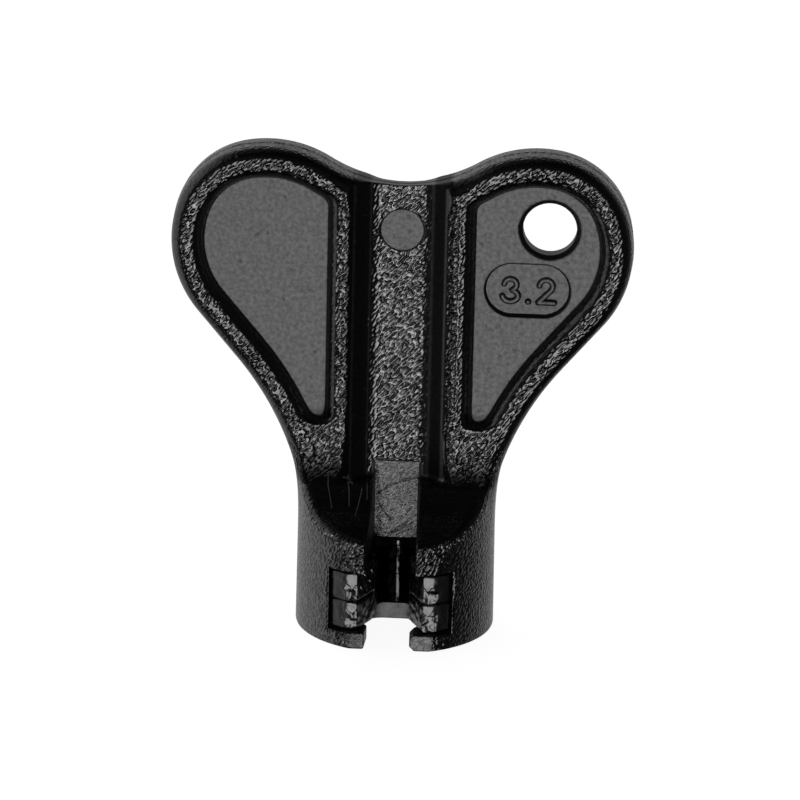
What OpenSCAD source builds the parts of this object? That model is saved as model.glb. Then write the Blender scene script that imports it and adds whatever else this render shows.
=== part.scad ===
// Spoke wrench with a moulded heart-shaped handle and two stacked steel jaw plates.
// The jaw's axis stands upright, +Z runs from the jaw's foot to the wings, and the slot opens to -Y.
// The origin is on the barrel's axis, on the flat foot that the tool stands on.

/* [Barrel] */
// Diameter of the barrel at its foot
barrel_d = 19.7; // [19.2:0.1:21]
// Slope of the barrel's moulded wall, in degrees
barrel_draft = 0.5; // [0:0.1:1]
// Height at which the scoops run out into the wing faces
scoop_top = 19; // [18.2:0.1:20]
// Radius of the scoops at the front and back of the barrel
scoop_r = 7.8; // [7.2:0.1:8.2]

/* [Wings] */
// Height at which each flank leaves the barrel
flank_z = 14.3; // [13:0.1:15]
// Angle between the flank's foot and the vertical
flank_lean = 12.5; // [10:0.5:16]
// Radius of the hollow flank
flank_r = 30.4; // [26:0.2:34]
// Angle of the straight stretch above the horizontal
flank_angle = 50; // [47:0.5:53]
// Length of the straight stretch
flank_len = 6; // [4.5:0.1:7.5]
// Radius of the lobe's lower part
lobe_low_r = 11.4; // [10.5:0.1:12.4]
// Turn of the lobe's lower part, in degrees
lobe_low_turn = 60; // [56:1:64]
// Radius of the lobe's outer shoulder
lobe_tip_r = 8.6; // [7.8:0.1:9.4]
// Turn of the lobe's outer shoulder, in degrees
lobe_tip_turn = 59; // [55:1:63]
// Radius of the lobe's top
lobe_top_r = 11.6; // [10.4:0.1:12.4]
// Turn of the lobe's top, in degrees
lobe_top_turn = 42; // [38:1:46]

/* [Rim, ribs and panels] */
// Width of the rounded rim around each wing
rim_w = 3.1; // [2.8:0.1:3.4]
// Thickness over the rim
rim_t = 5.5; // [5.3:0.1:6]
// Thickness over the two ribs beside the channel
rib_t = 5.3; // [5.1:0.1:5.6]
// Distance from the middle to each rib's crest
rib_x = 5.55; // [5.3:0.05:5.8]
// Thickness of the solid part below the panels
body_t = 5.2; // [4.8:0.1:5.25]
// Thickness between the scoops, just inside the solid part
neck_t = 5; // [4.4:0.1:5.1]
// Thickness of the flat panels
panel_t = 2.3; // [1.8:0.1:2.8]
// Height of the panels' lower ends
panel_low_z = 21.1; // [20.2:0.1:23]

/* [Channel and slot] */
// Thickness of the web at the bottom of the channels
channel_web_t = 1.7; // [1.5:0.1:2.2]
// Width of each channel's flat floor
channel_floor_w = 4.2; // [3.8:0.1:4.6]
// Radius of each channel's hollow walls
channel_wall_r = 2.9; // [2.7:0.05:3.1]
// Height of the channels' lower ends
channel_low_z = 15.4; // [14.8:0.1:16.4]
// Width of the spoke slot at the barrel's wall
slot_front_w = 5; // [4.6:0.1:5.2]
// Width of the spoke slot at its back
slot_back_w = 4.2; // [4:0.1:4.5]
// Height of the nipple stop's lower edge
stop_low_z = 8.9; // [8.4:0.1:9.6]
// Height of the nipple stop's upper edge
stop_top_z = 16.6; // [16:0.1:18]
// Width of the nipple stop
stop_w = 4.5; // [4.4:0.1:5]
// How far the nipple stop stands proud of the channel floor
stop_proud = 0.1; // [0.05:0.01:0.3]

/* [Steel jaw] */
// Width between the jaw faces, for nipples with 3.2 mm flats
jaw_gap = 3.3; // [3.2:0.05:3.6]
// Thickness of one jaw plate
plate_t = 2.975; // [2.7:0.025:3.1]
// Width of the jaw plates
plate_w = 11.9; // [10.4:0.1:12.2]
// Distance that the steel's outer face lies inside the barrel's wall
plate_inset = 0.45; // [0.3:0.05:0.8]
// Distance from the axis to the jaw plates' buried back edge
plate_back_y = 3.5; // [2.5:0.1:4.5]
// Distance from the axis to the lips of the jaw
lip_y = 5; // [4.4:0.1:5.6]
// Angle between the two sides of the mouth
mouth_angle = 50; // [40:1:60]
// Distance from the axis to the flat lands beside the mouth
mouth_land_y = 8.4; // [8.2:0.1:8.9]
// Clearance beside the steel in its pocket
plate_gap = 0.1; // [0.05:0.01:0.2]

/* [Foot ring] */
// Height of the ring under the steel
ring_h = 1.75; // [1.4:0.05:2.2]
// Width of the ring's clearance hole
ring_hole_w = 6.5; // [6:0.1:7.4]
// Distance from the axis to the front of the clearance hole
ring_hole_front = 6.9; // [6.4:0.1:7.4]
// Distance from the axis to the back of the clearance hole
ring_hole_back = 0.2; // [0.1:0.05:0.6]
// Corner radius of the clearance hole
ring_hole_r = 2.3; // [1.6:0.1:2.6]
// Width over the flats on the ring's two ends
ring_flat_w = 8.8; // [7.4:0.1:9.4]
// Distance from the axis to those flats
ring_flat_y = 8.95; // [8.7:0.05:9.2]
// Depth of the relief around the steel's front edges
window_relief = 0.25; // [0.1:0.05:0.4]

/* [Hanging hole and size plate] */
// Diameter of the hanging hole
hang_d = 5.4; // [4.6:0.1:5.6]
// Distance of the hanging hole from the middle
hang_x = 14.4; // [13.6:0.1:15]
// Height of the hanging hole
hang_z = 41.3; // [40.6:0.1:41.9]
// Chamfer of the hanging hole
hang_chamfer = 0.35; // [0.1:0.05:0.5]
// Length of the recessed plate that carries the size number
tag_l = 8.4; // [7.6:0.1:9]
// Height of the recessed plate
tag_h = 5.4; // [4.8:0.1:5.6]
// Depth of the recessed plate
tag_depth = 0.2; // [0.1:0.05:0.4]
// Distance of the recessed plate from the middle
tag_x = 12.4; // [12:0.1:13]
// Height of the recessed plate's centre
tag_z = 35.1; // [34.4:0.1:35.4]
// Diameter of the ejector mark in the channel
eject_d = 4.25; // [3.6:0.05:4.4]
// Height of the ejector mark
eject_z = 40.65; // [38:0.05:41.5]
// Depth of the ejector mark
eject_depth = 0.1; // [0.05:0.01:0.2]

/* [Hidden] */
$fn = 96;
// Every cut runs this far past what it cuts
overrun = 1;
// The outline starts this far inside the barrel's wall
flank_bury = 0.17;
// A collar covers each place where two arcs of the rim meet
collar_l = 0.3;
collar_h = 0.02;
// Turn between neighbouring points on the buried edge of the wing, in degrees
edge_step = 6;
bead_r = rim_w / 2;
plate_r = barrel_d / 2 - plate_inset;
plates_top = ring_h + 2 * plate_t;
nipple_y = -jaw_gap / 2;

function barrel_radius(z) = barrel_d / 2 - z * tan(barrel_draft);
function aim(a) = [cos(a), sin(a)];

// A stretch of the right wing's outline is a radius and a turn, or 0 and a length.
// A positive radius bulges outwards. A station is a place on the outline and its heading.
stretches = [
  [-flank_r, 90 - flank_lean - flank_angle],
  [0, flank_len],
  [lobe_low_r, lobe_low_turn],
  [lobe_tip_r, lobe_tip_turn],
  [lobe_top_r, lobe_top_turn]
];
outline_start = [barrel_radius(flank_z) - flank_bury, flank_z, 90 - flank_lean];
function place(station) = [station[0], station[1]];
function arc_centre(station, r) = place(station) + r * aim(station[2] + 90);
function arc_point(station, r, inset, turn) =
  arc_centre(station, r) - (r - inset) * aim(station[2] + sign(r) * turn + 90);
function next_station(station, stretch) = stretch[0] == 0
  ? concat(place(station) + stretch[1] * aim(station[2]), station[2])
  : concat(arc_point(station, stretch[0], 0, stretch[1]), station[2] + sign(stretch[0]) * stretch[1]);
stations = [
  for (i = 0, s = outline_start; i <= len(stretches);
       s = i < len(stretches) ? next_station(s, stretches[i]) : s, i = i + 1) s
];

// The notch between the lobes is one arc, whose radius follows from where the lobes end.
notch_edge = stations[len(stretches)];
notch_turn = notch_edge[2] - 180;
notch_r = notch_edge[0] / sin(notch_turn);
notch_centre_z = notch_edge[1] + notch_r * cos(notch_turn);

// Points along the middle of the rim, which hides the edge of the flat pieces
function edge_points(station, stretch) = stretch[0] == 0
  ? [place(station) + bead_r * aim(station[2] + 90)]
  : let (count = ceil(stretch[1] / edge_step))
    [for (k = [0 : count - 1]) arc_point(station, stretch[0], bead_r, stretch[1] * k / count)];
notch_count = ceil(notch_turn / edge_step);
right_edge = concat(
  [for (i = [0 : len(stretches) - 1]) each edge_points(stations[i], stretches[i])],
  [for (k = [0 : notch_count - 1])
    [0, notch_centre_z] - (notch_r + bead_r) * aim(90 + notch_turn * (1 - k / notch_count))]
);

// Turns a shape drawn flat in x and y upright, with its top side facing -Y
module upright() {
  rotate([90, 0, 0]) children();
}

module both_sides() {
  children();
  mirror([1, 0, 0]) children();
}

module front_and_back() {
  children();
  mirror([0, 1, 0]) children();
}

// Cross-section of a rounded bead, across in x and through the wing in y
module bead_section(thickness, grow = 0) {
  for (side = [-1, 1])
    translate([0, side * (thickness / 2 - bead_r)]) circle(bead_r + grow);
  square([rim_w + 2 * grow, thickness - rim_w], center = true);
}

module rim_straight(station, length, grow = 0) {
  foot = place(station) + bead_r * aim(station[2] + 90);
  translate([foot[0], foot[1], 0]) rotate([90, 0, station[2] + 90])
    linear_extrude(length, center = grow > 0) bead_section(rim_t, grow);
}

module rim_arc(station, r, turn) {
  centre = arc_centre(station, r);
  translate([centre[0], centre[1], 0])
    rotate([0, 0, r > 0 ? station[2] - 90 : station[2] + 90 - turn])
      rotate_extrude(angle = turn) translate([abs(r - bead_r), 0]) bead_section(rim_t);
}

// Rounded rim of the right wing, from inside the barrel to the notch
module wing_rim() {
  for (i = [0 : len(stretches) - 1]) {
    if (stretches[i][0] == 0) rim_straight(stations[i], stretches[i][1]);
    else rim_arc(stations[i], stretches[i][0], stretches[i][1]);
    rim_straight(stations[i + 1], collar_l, collar_h);
  }
}

module notch_rim() {
  translate([0, notch_centre_z, 0]) rotate([0, 0, -90 - notch_turn])
    rotate_extrude(angle = 2 * notch_turn) translate([notch_r + bead_r, 0]) bead_section(rim_t);
}

// Heart-shaped outline along the middle of the rim
module heart() {
  polygon(concat(right_edge, [for (i = [len(right_edge) - 1 : -1 : 0]) [-right_edge[i][0], right_edge[i][1]]]));
}

// The flat core of the wings, thinned to a panel inside each lobe
module core() {
  difference() {
    linear_extrude(body_t, center = true) heart();
    both_sides() for (side = [-1, 1])
      translate([0, 0, side * (panel_t + body_t) / 2]) linear_extrude(body_t, center = true)
        intersection() {
          heart();
          translate([rib_x, panel_low_z]) square(barrel_d + notch_edge[1]);
        }
  }
}

module rib() {
  rib_top = notch_centre_z - sqrt(pow(notch_r + bead_r, 2) - pow(rib_x, 2));
  rib_low = channel_low_z - overrun;
  translate([rib_x, 0, rib_low]) linear_extrude(rib_top - rib_low) bead_section(rib_t);
}

module barrel() {
  difference() {
    cylinder(h = scoop_top, r1 = barrel_d / 2, r2 = barrel_radius(scoop_top));
    front_and_back() translate([0, -neck_t / 2 - scoop_r, scoop_top]) rotate([0, 90, 0])
      cylinder(h = barrel_d + overrun, r = scoop_r, center = true);
  }
}

// Groove down the middle of a face, with a flat floor and hollow walls
module channel() {
  wall_x = channel_floor_w / 2;
  wall_y = -channel_web_t / 2 - channel_wall_r;
  translate([0, wall_y, channel_low_z]) linear_extrude(notch_centre_z - channel_low_z) {
    for (side = [-1, 1]) translate([side * wall_x, 0]) circle(channel_wall_r);
    translate([-wall_x, -channel_wall_r]) square([channel_floor_w, 2 * channel_wall_r]);
  }
}

// Slot that the spoke and the nipple slide in through
module spoke_slot() {
  back_x = slot_back_w / 2;
  back_y = (channel_web_t + stop_proud) / 2;
  front_y = barrel_d / 2 + overrun;
  front_x = back_x + (slot_front_w / 2 - back_x) * (front_y - back_y) / (front_y - overrun - back_y);
  translate([0, 0, -overrun]) linear_extrude(channel_low_z + 2 * overrun)
    polygon([[back_x, -back_y], [front_x, -front_y], [-front_x, -front_y], [-back_x, -back_y]]);
}

// Outline that guides a nipple: parallel faces and a round end at the back
module nipple_guide(front_y) {
  translate([0, nipple_y]) circle(jaw_gap / 2);
  translate([-jaw_gap / 2, -front_y]) square([jaw_gap, front_y + nipple_y]);
}

// Pocket for the steel, with a relief where its front edges show
module jaw_pocket() {
  pocket_w = plate_w + 2 * plate_gap;
  relief_y = sqrt(pow(plate_r, 2) - pow(pocket_w / 2, 2)) - overrun;
  translate([-pocket_w / 2, -barrel_d / 2 - overrun, ring_h])
    cube([pocket_w, barrel_d / 2 + overrun + plate_back_y, plates_top - ring_h]);
  translate([-pocket_w / 2, -barrel_d / 2 - overrun, ring_h - window_relief])
    cube([pocket_w, barrel_d / 2 + overrun - relief_y, plates_top - ring_h + 2 * window_relief]);
}

// Clearance hole in the ring under the steel, with rounded corners
module ring_hole() {
  half_w = ring_hole_w / 2;
  depth = ring_hole_front - ring_hole_back;
  translate([0, 0, -overrun]) linear_extrude(ring_h + overrun) {
    translate([-half_w, ring_hole_r - ring_hole_front]) square([ring_hole_w, depth - 2 * ring_hole_r]);
    translate([ring_hole_r - half_w, -ring_hole_front]) square([ring_hole_w - 2 * ring_hole_r, depth]);
    for (x = [ring_hole_r - half_w, half_w - ring_hole_r])
      for (y = [ring_hole_r - ring_hole_front, -ring_hole_back - ring_hole_r])
        translate([x, y]) circle(ring_hole_r);
  }
}

// Flats on the two ends of the ring, beside the slot
module ring_flats() {
  translate([-ring_flat_w / 2, -barrel_d / 2 - overrun, -overrun])
    cube([ring_flat_w, barrel_d / 2 + overrun - ring_flat_y, ring_h + overrun]);
}

module hanging_hole() {
  translate([hang_x, 0, hang_z]) rotate([90, 0, 0]) {
    cylinder(h = panel_t + overrun, d = hang_d, center = true);
    for (turn = [0, 180]) rotate([turn, 0, 0])
      translate([0, 0, panel_t / 2 - hang_chamfer])
        cylinder(h = 2 * hang_chamfer, r1 = hang_d / 2, r2 = hang_d / 2 + 2 * hang_chamfer);
  }
}

// Shallow recess with round ends on the front of the right panel
module size_tag() {
  end_x = (tag_l - tag_h) / 2;
  translate([tag_x, tag_depth - panel_t / 2, tag_z]) upright() linear_extrude(tag_depth + overrun) {
    for (side = [-1, 1]) translate([side * end_x, 0]) circle(d = tag_h);
    square([2 * end_x, tag_h], center = true);
  }
}

module ejector_mark() {
  translate([0, eject_depth - channel_web_t / 2, eject_z]) upright()
    cylinder(h = eject_depth + overrun, d = eject_d);
}

// Flat stop that keeps the nipple down in the jaw
module nipple_stop() {
  face_y = channel_web_t / 2 + stop_proud;
  translate([-stop_w / 2, -face_y, stop_low_z])
    cube([stop_w, face_y, stop_top_z - stop_low_z]);
}

module handle() {
  color("#26272a") {
    difference() {
      union() {
        upright() {
          core();
          both_sides() wing_rim();
          notch_rim();
        }
        both_sides() rib();
        barrel();
      }
      front_and_back() channel();
      spoke_slot();
      translate([0, 0, plates_top - overrun]) linear_extrude(stop_low_z - plates_top + overrun)
        nipple_guide(lip_y);
      jaw_pocket();
      ring_hole();
      ring_flats();
      hanging_hole();
      size_tag();
      ejector_mark();
    }
    nipple_stop();
  }
}

// One stamped plate of the jaw: a mouth that leads in to two parallel faces
module jaw_plate() {
  mouth_y = plate_r + overrun;
  mouth_x = jaw_gap / 2 + (mouth_y - lip_y) * tan(mouth_angle / 2);
  color("#4a4b4d") linear_extrude(plate_t) difference() {
    intersection() {
      circle(plate_r);
      translate([-plate_w / 2, -mouth_land_y]) square([plate_w, mouth_land_y + plate_back_y]);
    }
    nipple_guide(lip_y + overrun);
    polygon([[jaw_gap / 2, -lip_y], [mouth_x, -mouth_y], [-mouth_x, -mouth_y], [-jaw_gap / 2, -lip_y]]);
  }
}

module upper_jaw_plate() {
  translate([0, 0, ring_h + plate_t]) jaw_plate();
}

module lower_jaw_plate() {
  translate([0, 0, ring_h]) jaw_plate();
}

handle();
upper_jaw_plate();
lower_jaw_plate();
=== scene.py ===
import math
from functools import partial
import bpy
import numpy as np
from mathutils import Matrix, Vector


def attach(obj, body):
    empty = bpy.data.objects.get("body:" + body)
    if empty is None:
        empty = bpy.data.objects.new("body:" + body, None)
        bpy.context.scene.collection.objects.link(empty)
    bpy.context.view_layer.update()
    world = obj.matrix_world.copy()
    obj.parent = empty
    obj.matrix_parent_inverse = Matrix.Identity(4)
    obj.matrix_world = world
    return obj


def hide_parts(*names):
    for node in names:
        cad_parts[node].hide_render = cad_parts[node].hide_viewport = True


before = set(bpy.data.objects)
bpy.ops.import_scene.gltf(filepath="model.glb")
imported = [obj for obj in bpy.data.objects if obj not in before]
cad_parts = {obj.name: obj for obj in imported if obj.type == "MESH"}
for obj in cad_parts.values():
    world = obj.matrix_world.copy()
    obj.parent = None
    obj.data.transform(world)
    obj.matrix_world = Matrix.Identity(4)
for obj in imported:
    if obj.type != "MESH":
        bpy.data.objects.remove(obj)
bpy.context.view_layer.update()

# A spoke wrench for 3.2 mm nipples: a black nylon moulding around two steel jaw plates.
# X runs to the wing with the hanging hole, -Y is the side that the slot opens to, Z is up.
# Shapes are worked out in millimetres and turned to metres where a mesh is made.

mm = 0.001


# Distance fields: below zero is material, and smoothMin and smoothMax round where two meet.

def smoothMin(a, b, k):
    h = np.maximum(k - np.abs(a - b), 0.0) / k
    return np.minimum(a, b) - h * h * k * 0.25


def smoothMax(a, b, k):
    return -smoothMin(-a, -b, k)


def fade(value, start, width, low=0, high=1):
    # 0 at the start, 1 one width further on (before it, if negative), held between low and high
    return np.clip((value - start) / width, low, high)


def within(value, low, high):
    return (value > low) & (value < high)


def slopeOf(field, points, step=0.01):
    slope = np.empty_like(points)
    for axis in range(3):
        shift = np.zeros(3)
        shift[axis] = step
        slope[:, axis] = field(points + shift) - field(points - shift)
    return slope / np.maximum(np.linalg.norm(slope, axis=1), 1e-9)[:, None]


def sampleGrid(field, lines, slices=12):
    # The field at every grid point, some slices of X at a time to spare memory
    x, y, z = lines
    values = np.empty((len(x), len(y), len(z)))
    gridY, gridZ = np.meshgrid(y, z, indexing="ij")
    layer = np.stack([np.zeros(gridY.size), gridY.ravel(), gridZ.ravel()], axis=1)
    for start in range(0, len(x), slices):
        block = x[start:start + slices]
        points = np.tile(layer, (len(block), 1))
        points[:, 0] = np.repeat(block, len(layer))
        values[start:start + slices] = field(points).reshape(len(block), len(y), len(z))
    return values


def crossingsAlong(field, lines, values, axis, rounds=3):
    # The grid edges along one axis that the surface crosses, and the point where it crosses each
    count = values.shape[axis]
    inside = values < 0
    low = np.take(inside, range(count - 1), axis)
    high = np.take(inside, range(1, count), axis)
    at = np.argwhere(low != high)
    for other in range(3):
        if other != axis:
            at = at[within(at[:, other], 0, values.shape[other] - 1)]
    end = at.copy()
    end[:, axis] += 1
    a = np.stack([lines[k][at[:, k]] for k in range(3)], axis=1)
    b = np.stack([lines[k][end[:, k]] for k in range(3)], axis=1)
    va = values[tuple(at.T)]
    vb = values[tuple(end.T)]
    startsInside = va < 0
    for _ in range(rounds):
        share = np.clip(va / (va - vb), 0.05, 0.95)[:, None]
        mid = a + (b - a) * share
        vm = field(mid)
        same = (vm < 0) == (va < 0)
        a = np.where(same[:, None], mid, a)
        va = np.where(same, vm, va)
        b = np.where(same[:, None], b, mid)
        vb = np.where(same, vb, vm)
    return at, startsInside, a + (b - a) * (va / (va - vb))[:, None]


def cellsAround(at, axis, cells):
    # The four cells around each of these grid edges, in turn
    u, v = (axis + 1) % 3, (axis + 2) % 3
    ring = []
    for du, dv in ((-1, -1), (0, -1), (0, 0), (-1, 0)):
        cell = at.copy()
        cell[:, u] += du
        cell[:, v] += dv
        ring.append((cell[:, 0] * cells[1] + cell[:, 1]) * cells[2] + cell[:, 2])
    return np.stack(ring, axis=1)


def surfaceOf(field, lines, edgeWeight=0.03):
    # Dual contouring: one vertex in each cell that the surface passes through, set where the slopes
    # around it agree, so a crease stays a crease; and one quad for each grid edge that it crosses.
    values = sampleGrid(field, lines)
    cells = [len(line) - 1 for line in lines]
    ids, rows, quads = [], [], []
    for axis in range(3):
        at, startsInside, crossing = crossingsAlong(field, lines, values, axis)
        ring = cellsAround(at, axis, cells)
        quads.append(np.where(startsInside[:, None], ring, ring[:, ::-1]))
        slope = slopeOf(field, crossing)
        plane = (slope * crossing).sum(1)
        outer = slope[:, [0, 0, 0, 1, 1, 2]] * slope[:, [0, 1, 2, 1, 2, 2]]
        row = np.column_stack([outer, slope * plane[:, None], crossing, np.ones(len(at))])
        for k in range(4):
            ids.append(ring[:, k])
            rows.append(row)
    rows = np.concatenate(rows)
    used, place = np.unique(np.concatenate(ids), return_inverse=True)
    sums = np.stack([np.bincount(place, weights=rows[:, k]) for k in range(13)], axis=1)
    centre = sums[:, 9:12] / sums[:, 12:]
    slopeMatrix = sums[:, [0, 1, 2, 1, 3, 4, 2, 4, 5]].reshape(-1, 3, 3)
    pull = sums[:, 6:9] - np.einsum("nij,nj->ni", slopeMatrix, centre)
    hold = edgeWeight * sums[:, 12][:, None, None] * np.eye(3)
    vertices = centre + np.linalg.solve(slopeMatrix + hold, pull[:, :, None])[:, :, 0]
    index = np.stack(np.unravel_index(used, cells), axis=1)
    for k in range(3):
        line = np.asarray(lines[k])
        vertices[:, k] = np.clip(vertices[:, k], line[index[:, k]], line[index[:, k] + 1])
    return vertices, np.searchsorted(used, np.concatenate(quads))


def addObject(name, data):
    new = bpy.data.objects.new(name, data)
    bpy.context.scene.collection.objects.link(new)
    return new


def meshPiece(name, vertices, faces):
    mesh = bpy.data.meshes.new(name)
    mesh.from_pydata((vertices * mm).tolist(), [], faces.tolist())
    mesh.update()
    return addObject(name, mesh)


def cornerPoints(mesh, pull=0.3):
    # The place of every face corner in mm, pulled a little towards the middle of its face
    vertexOf = np.empty(len(mesh.loops), np.int32)
    mesh.loops.foreach_get("vertex_index", vertexOf)
    place = np.empty(len(mesh.vertices) * 3)
    mesh.vertices.foreach_get("co", place)
    place = place.reshape(-1, 3) / mm
    centre = np.empty(len(mesh.polygons) * 3)
    mesh.polygons.foreach_get("center", centre)
    centre = centre.reshape(-1, 3) / mm
    size = np.empty(len(mesh.polygons), np.int32)
    mesh.polygons.foreach_get("loop_total", size)
    faceOf = np.repeat(np.arange(len(size)), size)
    return place[vertexOf] * (1 - pull) + centre[faceOf] * pull


def shadeFrom(piece, field):
    # Every corner takes the field's slope, so edges stay crisp and curves smooth.
    points = cornerPoints(piece.data)
    slopes = slopeOf(field, points)
    piece.data.shade_smooth()
    piece.data.normals_split_custom_set(slopes.tolist())
    return points, slopes


def markCorners(piece, name, values):
    layer = piece.data.attributes.new(name, "FLOAT", "CORNER")
    layer.data.foreach_set("value", values.astype(np.float32))


# Handle: the outline of the right wing is a chain of arcs, given as (radius, turn in degrees).
# A positive radius bulges outwards, and a radius of 0 is a straight stretch of that length.

handleSize = {
    "flankStart": (9.555, 14.3), "flankLean": 12.5, "flankRunOn": 50,
    "stretches": ((-30.4, 27.5), (0, 6.0), (11.4, 60), (8.6, 59), (11.6, 42)),
    "rimWidth": 3.1, "rimThickness": 5.5, "ribThickness": 5.3, "ribX": 5.55, "wingLow": 9.0,
    "bodyThickness": 5.2, "panelThickness": 2.3, "panelLow": 21.1,
    "panelFillet": (0.16, 52, 2.2),                 # inset, slope and height
    "partingWidth": 0.12, "partingHeight": 0.05,
    "webThickness": 1.7, "floorWidth": 4.0, "channelLow": 15.4, "lipDrop": 0.19,
    "bevelTilt": 18, "wallFootX": 3.05, "lipX": 4.72, "wallTilt": (36, 41),     # left and right wall
    "barrelRadius": 9.85, "barrelDraft": 0.5, "shoulder": (0.25, 1.8),
    "scoopTop": 19.0, "scoopBlackTop": 16.2, "scoopRadius": 7.8, "scoopY": 10.3,
    "slotFront": 5.0, "slotBack": 4.2, "slotTop": 16.9,
    "stopWidth": 4.4, "stopLow": 8.95, "stopTop": 16.93, "stopProud": 0.1,
    "stopGroove": 0.14, "grooveY": 0.7,
    "jawGap": 3.3, "plateWidth": 11.9, "plateBack": 3.5, "plateGap": 0.1, "seatSink": 1,
    "platesLow": 1.75, "platesTop": 7.7, "reliefY": 6.19, "relief": (0.12, 0.25),
    "ringHole": (3.25, 0.2, 6.9, 2.3),              # half width, back, front and corner
    "ringFront": 6.5, "ringFlat": (4.4, 8.95),
    "ringEnd": (2.0, 0.45, 0.5),                    # place, reach and chamfer of the right end
    "hangHole": (14.32, 41.28, 2.62), "hangChamfer": 0.42,
    "tag": (12.33, 35.06, 8.5, 5.55, 0.24), "tagTilt": 0.045,       # centre, length, height, depth
    "ejector": (40.65, 2.175, 0.13), "markSlope": 44,
    "soft": {                                       # how gently two forms run into each other
        "bead": 0.7, "pocketEnd": 3.0, "pocketSide": 0.6, "panelCorner": 0.8, "panelEnd": 1.5,
        "core": 0.3, "fillet": 0.5, "panel": 0.12, "floor": 0.12, "wall": 0.25, "channelEnd": 0.5,
        "lip": 0.14, "foot": 0.25, "scoop": 0.9, "barrel": 0.3, "beadFoot": 0.9,
        "slot": 0.35, "seat": 0.1, "pocket": 0.2, "ring": 0.15, "hangHole": 0.15,
        "mark": 0.08, "stop": 0.08, "groove": 0.05,
    },
}


def outlineArcs(size, overlap=0.02):
    # Centre, radius, side and range of angles of each arc, and the straight stretch's own line
    x, z = size["flankStart"]
    heading = math.radians(90 - size["flankLean"])
    arcs, lines = [], []
    for radius, turn in size["stretches"]:
        if radius == 0:
            lines.append((x, z, heading, turn))
            x += turn * math.cos(heading)
            z += turn * math.sin(heading)
            continue
        side = math.copysign(1, radius)
        end = heading + side * math.radians(turn)
        centreX = x - radius * math.sin(heading)
        centreZ = z + radius * math.cos(heading)
        angles = sorted((heading - side * math.pi / 2, end - side * math.pi / 2))
        arcs.append([centreX, centreZ, abs(radius), side, angles[0], angles[1]])
        x = centreX + radius * math.sin(end)
        z = centreZ - radius * math.cos(end)
        heading = end
    notchTurn = heading - math.pi
    notchRadius = x / math.sin(notchTurn)
    notchZ = z + notchRadius * math.cos(notchTurn)
    arcs.append([0, notchZ, notchRadius, -1, -math.pi / 2 - overlap, -math.pi / 2 + notchTurn])
    arcs[0][5] += math.radians(size["flankRunOn"])      # the flank runs on down inside the barrel
    return arcs, lines


arcs, straights = outlineArcs(handleSize)


def depthInWing(x, z, outside=-5.0):
    # How far a point lies inside the middle line of the rim, by the nearest stretch of the outline
    rimRadius = handleSize["rimWidth"] / 2
    depth = np.full(x.shape, outside)
    nearest = np.full(x.shape, np.inf)
    for centreX, centreZ, radius, side, low, high in arcs:
        dx, dz = x - centreX, z - centreZ
        reach = np.hypot(dx, dz)
        half = (high - low) / 2
        offset = (np.arctan2(dz, dx) - low - half + math.pi) % (2 * math.pi) - math.pi
        here = side * (radius - reach) - rimRadius
        closer = (np.abs(offset) <= half + 1e-6) & (np.abs(here) < nearest)
        depth = np.where(closer, here, depth)
        nearest = np.where(closer, np.abs(here), nearest)
    for startX, startZ, heading, length in straights:
        along = (x - startX) * math.cos(heading) + (z - startZ) * math.sin(heading)
        here = (z - startZ) * math.cos(heading) - (x - startX) * math.sin(heading) - rimRadius
        closer = (along >= 0) & (along <= length) & (np.abs(here) < nearest)
        depth = np.where(closer, here, depth)
        nearest = np.where(closer, np.abs(here), nearest)
    return depth


def wingFields(x, y, z):
    # The rim and the ribs as rounded beads, and the wing that they make with the core and the panels
    s, soft = handleSize, handleSize["soft"]
    thick = np.abs(y)
    depth = depthInWing(x, z)
    rimRadius = s["rimWidth"] / 2
    rim = np.hypot(depth, np.maximum(thick - s["rimThickness"] / 2 + rimRadius, 0)) - rimRadius
    rim -= s["partingHeight"] * np.exp(-(y / s["partingWidth"]) ** 2) * (depth < 0)
    rib = np.hypot(x - s["ribX"], np.maximum(thick - s["ribThickness"] / 2 + rimRadius, 0)) - rimRadius
    beads = smoothMin(rim, np.maximum(rib, -depth), soft["bead"])
    pocket = smoothMax(np.maximum(s["ribX"] - x, -depth), s["panelLow"] - z, soft["pocketEnd"])
    lip = s["lipDrop"] * (x < s["ribX"])
    core = np.maximum(thick + lip - s["bodyThickness"] / 2, -depth)
    core = smoothMax(core, -pocket, soft["pocketSide"])
    panel = np.maximum(thick - s["panelThickness"] / 2, -depth)

    # the fill along a panel's sides rounds its lower corners
    inset, rise, fillTop = s["panelFillet"]
    rise = math.radians(rise)
    side = smoothMax(s["ribX"] + rimRadius - inset - x, rimRadius - inset - depth, soft["panelCorner"])
    side = smoothMax(side, s["panelLow"] + inset - z, soft["panelEnd"])
    fill = (thick - s["panelThickness"] / 2) * math.cos(rise) - side * math.sin(rise)
    fill = np.maximum(np.maximum(fill, thick - fillTop), np.maximum(-depth, s["ribX"] - x))

    wing = smoothMin(smoothMin(beads, core, soft["core"]), fill, soft["fillet"])
    wing = smoothMin(wing, panel, soft["panel"])
    low = s["wingLow"] - z
    return np.maximum(beads, low), np.maximum(wing, low)


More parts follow.
